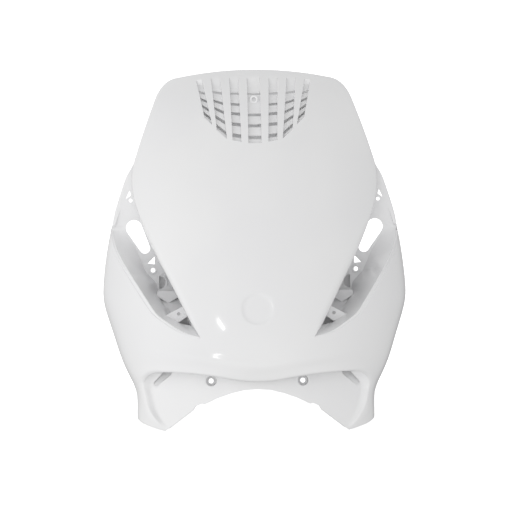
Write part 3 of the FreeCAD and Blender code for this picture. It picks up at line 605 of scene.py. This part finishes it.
# %% Recess wall
ARCH = np.array([(0, 56.7), (18, 55.4), (36, 51), (56, 44), (74, 35.5), (76.6, 37), (86, 33.4),
                 (88.8, 28), (127.5, -1.5)])
RECESS_ROWS = 24

arch_at = lengths(ARCH)
arch_along = along / along[-1] * arch_at[-1]
arch_x = np.interp(arch_along, arch_at, ARCH[:, 0])
arch_z = np.interp(arch_along, arch_at, ARCH[:, 1])
arch = np.stack([arch_x, arch_z], 1)
wall_flat = mix(arch[None], border[None], np.linspace(0, 1, RECESS_ROWS)[:, None, None])
recess_wall = np.stack([wall_flat[..., 0], recess_depth(wall_flat[..., 0]), wall_flat[..., 1]], -1)
recess_wall[-1, :, 1] = lip_foot[:, 1]
from_border = np.linalg.norm(wall_flat - border[None], axis=-1)
recess_wall[..., 1] = mix(recess_wall[..., 1], fold(recess_wall, from_border, lip_radius[None]), aside)
print("recess wall", recess_wall.shape)

# %% [markdown]
# The real wall is equally thick nearly everywhere. An inner skin could be drawn as well, but
# Solidify makes it from the outer one: the grids are welded into one sheet, mirrored to the left,
# and thickened inwards, so that the outside stays as drawn.

# %% Sheets
SEAM, SLIVER = 2e-5, 1e-6


def metres(points, sign):
    """Millimetres to metres from the origin of the frame; a sign of -1 gives the mirror image."""
    return (points * (sign, 1, 1) - ORIGIN) / PER_METRE


def linked(name, mesh):
    """A mesh as a new object in the scene."""
    result = bpy.data.objects.new(name, mesh)
    bpy.context.scene.collection.objects.link(result)
    return result


def sheet(name, grids, keep):
    """Weld grids of points (rows up, columns to the right) and their mirror images.

    Keep has, by the number of a grid, the cells of it that are wanted.
    """
    points, faces, start = [], [], 0
    for number, grid in enumerate(grids):
        rows, columns = grid.shape[:2]
        index = np.arange(rows * columns).reshape(rows, columns)
        quads = np.stack([index[:-1, :-1], index[:-1, 1:], index[1:, 1:], index[1:, :-1]], -1)
        quads = quads[keep.get(number, np.ones(quads.shape[:2], bool))]
        for sign in (1, -1):
            points.append(metres(grid.reshape(-1, 3), sign))
            faces.append(quads[:, ::sign] + start)
            start += rows * columns
    used, faces = np.unique(np.concatenate(faces), return_inverse=True)
    mesh = bpy.data.meshes.new(name)
    mesh.from_pydata(np.concatenate(points)[used].tolist(), [], faces.reshape(-1, 4).tolist())
    work = bmesh.new()
    work.from_mesh(mesh)
    bmesh.ops.remove_doubles(work, verts=work.verts, dist=SEAM)
    bmesh.ops.dissolve_degenerate(work, dist=SLIVER, edges=work.edges)
    work.to_mesh(mesh)
    work.free()
    return linked(name, mesh)


shell = sheet("panel_shell", [lower, upper, beside_grid, grille, shield_side, return_wall,
                              outer_side, chin, lobe, lip, seat], {0: lower_keep, 3: grille_keep})
plates = sheet("panel_plates", [eye_plate, recess_wall], {})
for piece in (shell, plates):
    thick = piece.modifiers.new("wall", "SOLIDIFY")
    thick.thickness = WALL / PER_METRE
    thick.offset = -1
    thick.use_even_offset = False
print("shell", len(shell.data.polygons), "faces, plates", len(plates.data.polygons))

# %% [markdown]
# The pocket floor and the recess wall carry the openings for the lamps and screws. Each opening
# is a front-view outline carried straight back. One boolean cuts all of them, and it is used on
# these plates only, so that the gloss of the shield and the cheeks isn't disturbed.

# %% Openings
def circle(x, z, radius, first=0.0, last=2 * math.pi, count=33):
    """Points of an arc about (x, z)."""
    turn = np.linspace(first, last, count)
    return np.stack([x + radius * np.cos(turn), z + radius * np.sin(turn)], 1)


def bore(x, z, radius):
    """A whole circle, without the last point, which is the first one again."""
    return circle(x, z, radius)[:-1]


def slot(big, big_radius, small, small_radius):
    """Outline of a slot with two round ends, tangent lines between them."""
    d = np.subtract(small, big)
    aim = math.atan2(d[1], d[0])
    opening = math.acos((big_radius - small_radius) / math.hypot(*d))
    return np.concatenate([circle(*big, big_radius, aim + opening, aim + 2 * math.pi - opening),
                           circle(*small, small_radius, aim - opening, aim + opening)])


def tube(outline, near, far, close=True):
    """Outline carried from one depth to another, or to one for each point; close caps the ends."""
    count = len(outline)
    points = np.tile(np.insert(outline.astype(float), 1, 0.0, axis=1), (2, 1))
    points[:count, 1] = near
    points[count:, 1] = far
    ring = np.arange(count)
    after = np.roll(ring, -1)
    faces = [np.stack([ring, ring + count, after + count, after], 1)]
    if close:
        faces += [ring[None], ring[None, ::-1] + count]
    return points, faces


def solid(name, parts):
    """Right-hand parts and their mirror images as one object; a part is its points and faces."""
    points, faces, start = [], [], 0
    for part, blocks in parts:
        for sign in (1, -1):
            points.append(metres(part, sign))
            for block in blocks:
                faces += (block[:, ::sign] + start).tolist()
            start += len(part)
    mesh = bpy.data.meshes.new(name)
    mesh.from_pydata(np.concatenate(points).tolist(), [], faces)
    work = bmesh.new()
    work.from_mesh(mesh)
    bmesh.ops.remove_doubles(work, verts=work.verts, dist=SLIVER)
    bmesh.ops.recalc_face_normals(work, faces=work.faces)
    work.to_mesh(mesh)
    work.free()
    return linked(name, mesh)


def cut_away(piece, cutter):
    """Take the cutter's shape from a piece, apply all that the piece carries, drop the cutter."""
    cut = piece.modifiers.new("openings", "BOOLEAN")
    cut.object = cutter
    cut.solver = "EXACT"
    bpy.context.view_layer.objects.active = piece
    for modifier in [m.name for m in piece.modifiers]:
        bpy.ops.object.modifier_apply(modifier=modifier)
    bpy.data.objects.remove(cutter)


CUP_RADIUS = 7.3
RING_X, RING_Z, RING_RADIUS = 141.8, 222.0, 3.0
# How far from front to back each cutter reaches.
POCKET_CUT, HALF_CUT, CLIP_CUT = (100, 140), (112, 140), (40, 80)
STRIP_CUT, DRAIN_CUT, SCREW_CUT = (95, 120), (50, 95), (30, 60)
keyhole = slot((168.0, 281.0), 11.0, (153.0, 252.7), 7.2)
drain = slot((123.0, 80.0), 5.0, (139.0, 65.0), 3.8)
half_round = circle(133.5, 205.0, 9.0, math.pi / 2, 1.5 * math.pi, 25)
nick = np.array([(139.5, 241), (149, 231.5), (139.5, 230.5)])
clip_hole = np.array([(97.5, 157.5), (109, 149.5), (91, 145)])
strip_hole = np.array([(173.8, 333), (172.2, 327), (179, 322)])
strip_bore = bore(172.5, 319.5, 2.4)
cut_away(plates, solid("cutter", [
    tube(keyhole, *POCKET_CUT), tube(nick, *POCKET_CUT), tube(half_round, *HALF_CUT),
    tube(bore(RING_X, RING_Z, RING_RADIUS), *POCKET_CUT), tube(clip_hole, *CLIP_CUT),
    tube(strip_hole, *STRIP_CUT), tube(strip_bore, *STRIP_CUT), tube(drain, *DRAIN_CUT),
    tube(bore(SCREW_X, SCREW_Z, CUP_RADIUS), *SCREW_CUT)]))
print("plates after cutting:", len(plates.data.polygons), "faces")

# %% [markdown]
# Small fittings stand on the plates: a cup behind each blind opening, a cup with a hole for each
# screw, the lamp's lower tab, a step and a ring. They are turned or straight shapes, so a profile
# carried round or an outline carried back is all that they need.

# %% Fittings
def turned(x, z, profile, count=48):
    """A closed profile of (radius, depth) turned about the line through (x, z)."""
    r, d = np.array(profile, float).T
    turn = np.linspace(0, 2 * math.pi, count, endpoint=False)[:, None]
    depth = np.broadcast_to(d, (count, len(r)))
    points = np.stack([x + r * np.cos(turn), depth, z + r * np.sin(turn)], -1)
    index = np.arange(count * len(r)).reshape(count, len(r))
    right = np.roll(index, -1, 0)
    faces = np.stack([index, right, np.roll(right, -1, 1), np.roll(index, -1, 1)], -1)
    return points.reshape(-1, 3), [faces.reshape(-1, 4)]


def collar(x, z, radius, wall, front, back, bevel):
    """Turned ring from one depth to another, with both front edges bevelled."""
    outer = radius + wall
    return turned(x, z, [(radius, front), (radius, back), (outer, back), (outer, front),
                         (outer - bevel, front - bevel), (radius + bevel, front - bevel)])


def grown(outline, by):
    """Outline spread from its middle by about the given distance."""
    middle = outline.mean(0)
    reach = np.linalg.norm(outline - middle, axis=1)[:, None]
    return middle + (outline - middle) * (1 + by / reach)


def cup(outline, near, far):
    """Blind cup: an inner wall, a bottom, and the same grown by the wall outside."""
    inside, walls = tube(outline, near, far, False)
    outside, outer_walls = tube(grown(outline, WALL), near, far + WALL, False)
    count = len(outline)
    ring = np.arange(count)
    after = np.roll(ring, -1)
    shift = 2 * count
    bottoms = [ring[None] + count, ring[None, ::-1] + count + shift]
    brim = np.stack([ring, after, after + shift, ring + shift], 1)
    return np.concatenate([inside, outside]), walls + [outer_walls[0] + shift] + bottoms + [brim]


CUP_FRONT, CUP_FLOOR, CUP_BEVEL, SCREW_HOLE = 42.0, 52.0, 0.6, 3.3
RING_PROUD, RING_BEVEL = 1.0, 0.5
SCOOP_EDGE, SCOOP_STEP, SCOOP_RISE = 0.2, 0.4, 13.0
HALF_CUP, CLIP_START, CLIP_FLOOR = (122, 134), 1.0, 78.0
BOSS_Z, BOSS_RADIUS, BOSS_WALL, BOSS_BEVEL = 458.8, 2.8, 3.0, 0.6
BOSS_PROUD, BOSS_LENGTH = 2.2, 9.0
STEP_SPAN, TAB_DEPTH, TAB_CUT = (104, 119), 56.0, (50, 62)
tab = np.array([(126.7, 159), (101, 172.3), (94, 159.3), (107, 150)])
tab_bore = bore(107.7, 161.6, 2.4)
step_block = np.array([(108, 184), (112, 193), (136, 193), (137, 186), (121, 176)])

cup_back, cup_outer = CUP_FLOOR + WALL, CUP_RADIUS + WALL
screw_cup = turned(SCREW_X, SCREW_Z, [
    (CUP_RADIUS, CUP_FRONT), (CUP_RADIUS, CUP_FLOOR - CUP_BEVEL), (CUP_RADIUS - CUP_BEVEL, CUP_FLOOR),
    (SCREW_HOLE, CUP_FLOOR), (SCREW_HOLE, cup_back), (cup_outer, cup_back), (cup_outer, CUP_FRONT)])
ring_y = float(floor_line(RING_Z))
lamp_ring = collar(RING_X, RING_Z, RING_RADIUS, WALL, ring_y - RING_PROUD, ring_y + WALL, RING_BEVEL)
drain_wall = recess_depth(drain[:, 0])
rising = (drain[:, 1] - drain[:, 1].min()) / np.ptp(drain[:, 1])
scoop = cup(drain, drain_wall + SCOOP_EDGE, drain_wall + SCOOP_STEP + SCOOP_RISE * rising ** 2)
clip_wall = np.interp(clip_hole[:, 1], low_rows, pocket_floor)
clip_cup = cup(clip_hole, clip_wall + CLIP_START, CLIP_FLOOR)
fittings = solid("panel_fittings", [screw_cup, lamp_ring, scoop, cup(half_round, *HALF_CUP),
                                    clip_cup, tube(step_block, *STEP_SPAN)])
boss_y = float(skin(0, BOSS_Z)) + GRILLE_DEPTH
boss = solid("panel_boss", [collar(0, BOSS_Z, BOSS_RADIUS, BOSS_WALL, boss_y - BOSS_PROUD,
                                   boss_y + BOSS_LENGTH, BOSS_BEVEL)])
tabs = solid("panel_tabs", [tube(tab, TAB_DEPTH, TAB_DEPTH + WALL)])
cut_away(tabs, solid("tab_hole", [tube(tab_bore, *TAB_CUT)]))
print("fittings:", len(fittings.data.polygons), "faces")

# %% [markdown]
# Joining makes the moulding one piece again. Sharp shading is kept only where two faces meet at
# more than 38 degrees, so the rolled edges stay smooth.

# %% One piece
SHARP_ANGLE = math.radians(38)

bpy.context.view_layer.objects.active = shell
bpy.ops.object.modifier_apply(modifier="wall")
bpy.ops.object.select_all(action="DESELECT")
for piece in (shell, plates, fittings, boss, tabs):
    piece.select_set(True)
bpy.ops.object.join()
panel = shell
panel.name = "front_panel_visual"
panel.data.name = "front_panel_visual"
panel.data.shade_smooth()
panel.data.set_sharp_from_angle(angle=SHARP_ANGLE)
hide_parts("front_panel")
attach(panel, "root")
print("panel:", len(panel.data.polygons), "faces")

# %% [markdown]
# The plastic is coloured right through and comes gloss from a polished mould. It is never quite
# even: the gloss varies in faint clouds, the skin has a fine ripple from cooling, and edges that
# are handled lose some shine. The effects are node groups that give values, so that another
# material can use them too; the shader stays in the material.

# %% Effects in the plastic
def node_group(name, outputs):
    """Empty shader group with a place as its input; returns it with its input and output nodes."""
    group = bpy.data.node_groups.new(name, "ShaderNodeTree")
    group.interface.new_socket("Vector", in_out="INPUT", socket_type="NodeSocketVector")
    for label in outputs:
        group.interface.new_socket(label, in_out="OUTPUT", socket_type="NodeSocketFloat")
    return group, group.nodes.new("NodeGroupInput"), group.nodes.new("NodeGroupOutput")


def add(tree, kind, **settings):
    """New node of a kind, with its attributes set."""
    node = tree.nodes.new(kind)
    for label, value in settings.items():
        setattr(node, label, value)
    return node


def noise(tree, vector, scale, detail=2.0):
    """Cloudy value between 0 and 1; a larger scale gives smaller clouds."""
    node = add(tree, "ShaderNodeTexNoise")
    node.inputs["Scale"].default_value = scale
    node.inputs["Detail"].default_value = detail
    tree.links.new(vector, node.inputs["Vector"])
    return node.outputs["Fac"]


def spread(tree, value, given, wanted):
    """Smooth step of a value from the given range to the wanted one."""
    node = add(tree, "ShaderNodeMapRange", interpolation_type="SMOOTHSTEP")
    tree.links.new(value, node.inputs["Value"])
    for label, number in zip(("From Min", "From Max", "To Min", "To Max"), given + wanted):
        node.inputs[label].default_value = number
    return node.outputs["Result"]


def combine(tree, operation, first, second):
    """One sum on two values, each a socket or a plain number."""
    node = add(tree, "ShaderNodeMath", operation=operation)
    for socket, value in zip(node.inputs, (first, second)):
        if isinstance(value, float):
            socket.default_value = value
        else:
            tree.links.new(value, socket)
    return node.outputs[0]


FULL = (0.0, 1.0)
gloss, gloss_in, gloss_out = node_group("moulded_gloss", ["Shade", "Roughness", "Ripple"])
place = gloss_in.outputs["Vector"]
shade = spread(gloss, noise(gloss, place, scale=7.0), (0.3, 0.7), FULL)
clouds = spread(gloss, noise(gloss, place, scale=24.0, detail=4.0), (0.35, 0.7), (0.0, 0.04))
specks = spread(gloss, noise(gloss, place, scale=420.0), (0.62, 0.75), (0.0, 0.06))
gloss.links.new(shade, gloss_out.inputs["Shade"])
gloss.links.new(combine(gloss, "ADD", clouds, specks), gloss_out.inputs["Roughness"])
gloss.links.new(noise(gloss, place, scale=260.0), gloss_out.inputs["Ripple"])

wear, wear_in, wear_out = node_group("edge_wear", ["Mask"])
ridge = spread(wear, add(wear, "ShaderNodeNewGeometry").outputs["Pointiness"], (0.52, 0.6), FULL)
patches = spread(wear, noise(wear, wear_in.outputs["Vector"], scale=130.0), (0.4, 0.65), FULL)
wear.links.new(combine(wear, "MULTIPLY", ridge, patches), wear_out.inputs["Mask"])
print("node groups:", gloss.name, wear.name)

# %% [markdown]
# The shader is a plain plastic with a low roughness. The inside of the mould is not polished, so
# faces that look back are duller: a smooth step of the normal's direction does that without a
# second material.

# %% Plastic
DEEP_WHITE, PALE_WHITE = (0.875, 0.875, 0.882, 1), (0.9, 0.9, 0.901, 1)
FRONT_ROUGHNESS, BACK_ROUGHNESS, WORN_ROUGHNESS = 0.07, 0.42, 0.15
LOOKS_BACK = (0.1, 0.5)
RIPPLE_STRENGTH, RIPPLE_DEPTH = 0.03, 0.0004
PLASTIC_IOR = 1.5

plastic = bpy.data.materials.new("gloss_white_plastic")
plastic.use_nodes = True
tree = plastic.node_tree
shader = tree.nodes["Principled BSDF"]
shader.inputs["IOR"].default_value = PLASTIC_IOR
where = add(tree, "ShaderNodeTexCoord").outputs
gloss_node, wear_node = [add(tree, "ShaderNodeGroup", node_tree=source) for source in (gloss, wear)]
for node in (gloss_node, wear_node):
    tree.links.new(where["Object"], node.inputs["Vector"])
colour = add(tree, "ShaderNodeMix", data_type="RGBA")
colour_a, colour_b = [s for s in colour.inputs if s.type == "RGBA"]
colour_a.default_value = DEEP_WHITE
colour_b.default_value = PALE_WHITE
tree.links.new(gloss_node.outputs["Shade"], colour.inputs[0])
tree.links.new([s for s in colour.outputs if s.type == "RGBA"][0], shader.inputs["Base Color"])
facing = add(tree, "ShaderNodeSeparateXYZ")
tree.links.new(where["Normal"], facing.inputs[0])
polish = spread(tree, facing.outputs["Y"], LOOKS_BACK, (FRONT_ROUGHNESS, BACK_ROUGHNESS))
rough = combine(tree, "ADD", polish, gloss_node.outputs["Roughness"])
dull = combine(tree, "MULTIPLY", wear_node.outputs["Mask"], WORN_ROUGHNESS)
tree.links.new(combine(tree, "ADD", rough, dull), shader.inputs["Roughness"])
ripple = add(tree, "ShaderNodeBump")
ripple.inputs["Strength"].default_value = RIPPLE_STRENGTH
ripple.inputs["Distance"].default_value = RIPPLE_DEPTH
tree.links.new(gloss_node.outputs["Ripple"], ripple.inputs["Height"])
tree.links.new(ripple.outputs["Normal"], shader.inputs["Normal"])
panel.data.materials.clear()
panel.data.materials.append(plastic)
print("material:", plastic.name, "with", len(tree.nodes), "nodes")

# %% [markdown]
# The picture is taken from straight in front with a long lens, a little to the left of the
# middle. The lens follows from the distance and from the width that the picture takes in.

# %% Camera
TARGET = Vector((-0.0025, 0.008, 0.1753))
DISTANCE, FIELD, SENSOR = 8.0, 0.7045, 36.0
YAW, ROLL = math.radians(1.85), math.radians(-0.45)
FARTHEST = 100

scene = bpy.context.scene
scene.view_settings.view_transform = "Standard"
camera = bpy.data.objects.new("camera", bpy.data.cameras.new("camera"))
camera.data.sensor_width = SENSOR
camera.data.lens = SENSOR * DISTANCE / FIELD
camera.data.clip_end = FARTHEST
stand = TARGET + Vector((-math.sin(YAW), -math.cos(YAW), 0)) * DISTANCE
aim = (TARGET - stand).to_track_quat("-Z", "Y").to_matrix().to_4x4()
camera.matrix_world = Matrix.Translation(stand) @ aim @ Matrix.Rotation(ROLL, 4, "Z")
scene.collection.objects.link(camera)
scene.camera = camera
print("lens: %.0f mm" % camera.data.lens)

# %% [markdown]
# The panel stands on a white sheet that only the camera sees: it glows, but it throws no light on
# the plastic, which would fill the recess. One small slanted light leaves the bright streak in
# the gloss beside the seat.

# %% Floor and streak
STREAK_PLACE, STREAK_SIZE, STREAK_POWER = (-0.91, -3.0, 0.13), (0.055, 0.25), 1.4
STREAK_TURN = math.radians(42)
FLOOR_SIDE, FLOOR_FRONT, FLOOR_BACK, FLOOR_GAP = 1.2, -2.6, 3.0, 0.002
FLOOR_WHITE, FLOOR_ROUGHNESS, FLOOR_GLOW = (0.9, 0.9, 0.9, 1), 0.9, 0.5
WHITE = (1, 1, 1, 1)


def softbox(name, place, size, power):
    """Square or oblong area light aimed at the panel."""
    light = bpy.data.lights.new(name, "AREA")
    light.shape = "RECTANGLE"
    light.size, light.size_y = size
    light.energy = power
    result = bpy.data.objects.new(name, light)
    result.location = place
    result.rotation_euler = (TARGET - Vector(place)).to_track_quat("-Z", "Y").to_euler()
    scene.collection.objects.link(result)
    return result


def plane(name, corners, glow):
    """Plain white sheet for the set, lit from within."""
    mesh = bpy.data.meshes.new(name)
    mesh.from_pydata(corners, [], [(0, 1, 2, 3)])
    result = linked(name, mesh)
    paint = bpy.data.materials.new(name)
    paint.use_nodes = True
    surface = paint.node_tree.nodes["Principled BSDF"]
    surface.inputs["Base Color"].default_value = FLOOR_WHITE
    surface.inputs["Roughness"].default_value = FLOOR_ROUGHNESS
    surface.inputs["Emission Color"].default_value = WHITE
    surface.inputs["Emission Strength"].default_value = glow
    mesh.materials.append(paint)
    return result


streak = softbox("streak", STREAK_PLACE, STREAK_SIZE, STREAK_POWER)
streak.rotation_euler.rotate_axis("Z", STREAK_TURN)
low = cad_box[0][2] - FLOOR_GAP
floor = plane("floor", [(-FLOOR_SIDE, FLOOR_FRONT, low), (FLOOR_SIDE, FLOOR_FRONT, low),
                        (FLOOR_SIDE, FLOOR_BACK, low), (-FLOOR_SIDE, FLOOR_BACK, low)], FLOOR_GLOW)
floor.visible_diffuse = False
floor.visible_glossy = False
print("floor at %.4f m, streak light of %.1f W" % (low, STREAK_POWER))

# %% [markdown]
# The rest of the light comes from all round, as in a white studio tent. Area lights could do it,
# but it would take many of them, and the world gives it without noise. It is brightest towards
# the left front, and weaker at the sides and high up behind, where it lights the back. Straight
# behind the panel is a white patch, the wall it is photographed against.

# %% Light from all round
FRONT_AIM, FRONT_GIVEN, FRONT_WANTED = (-0.34, -0.93, -0.12), (0.1, 1.0), (0.34, 1.1)
REAR_AIM, REAR_GIVEN, REAR_WANTED = (-0.15, 0.7, 0.7), (0.45, 1.0), (0.0, 0.55)
SIDES_GIVEN, SIDES_WANTED = (0.35, 1.0), (0.0, 0.4)
PATCH_GIVEN = (0.972, 0.992)

world = bpy.data.worlds.new("studio")
world.use_nodes = True
sky = world.node_tree
look = add(sky, "ShaderNodeTexCoord").outputs["Generated"]


def towards(aim):
    """Cosine of the angle between the direction of view and an aim."""
    node = add(sky, "ShaderNodeVectorMath", operation="DOT_PRODUCT")
    node.inputs[1].default_value = Vector(aim).normalized()
    sky.links.new(look, node.inputs[0])
    return node.outputs["Value"]


front = spread(sky, towards(FRONT_AIM), FRONT_GIVEN, FRONT_WANTED)
rear = spread(sky, towards(REAR_AIM), REAR_GIVEN, REAR_WANTED)
apart = add(sky, "ShaderNodeSeparateXYZ")
sky.links.new(look, apart.inputs[0])
sideways = combine(sky, "ABSOLUTE", apart.outputs["X"], 0.0)
sides = spread(sky, sideways, SIDES_GIVEN, SIDES_WANTED)
patch = spread(sky, apart.outputs["Y"], PATCH_GIVEN, FULL)
strength = front
for part in (rear, sides, patch):
    strength = combine(sky, "ADD", strength, part)
ground = sky.nodes["Background"]
sky.links.new(strength, ground.inputs["Strength"])
ground.inputs["Color"].default_value = WHITE
scene.world = world
print("world:", world.name, "with", len(sky.nodes), "nodes")
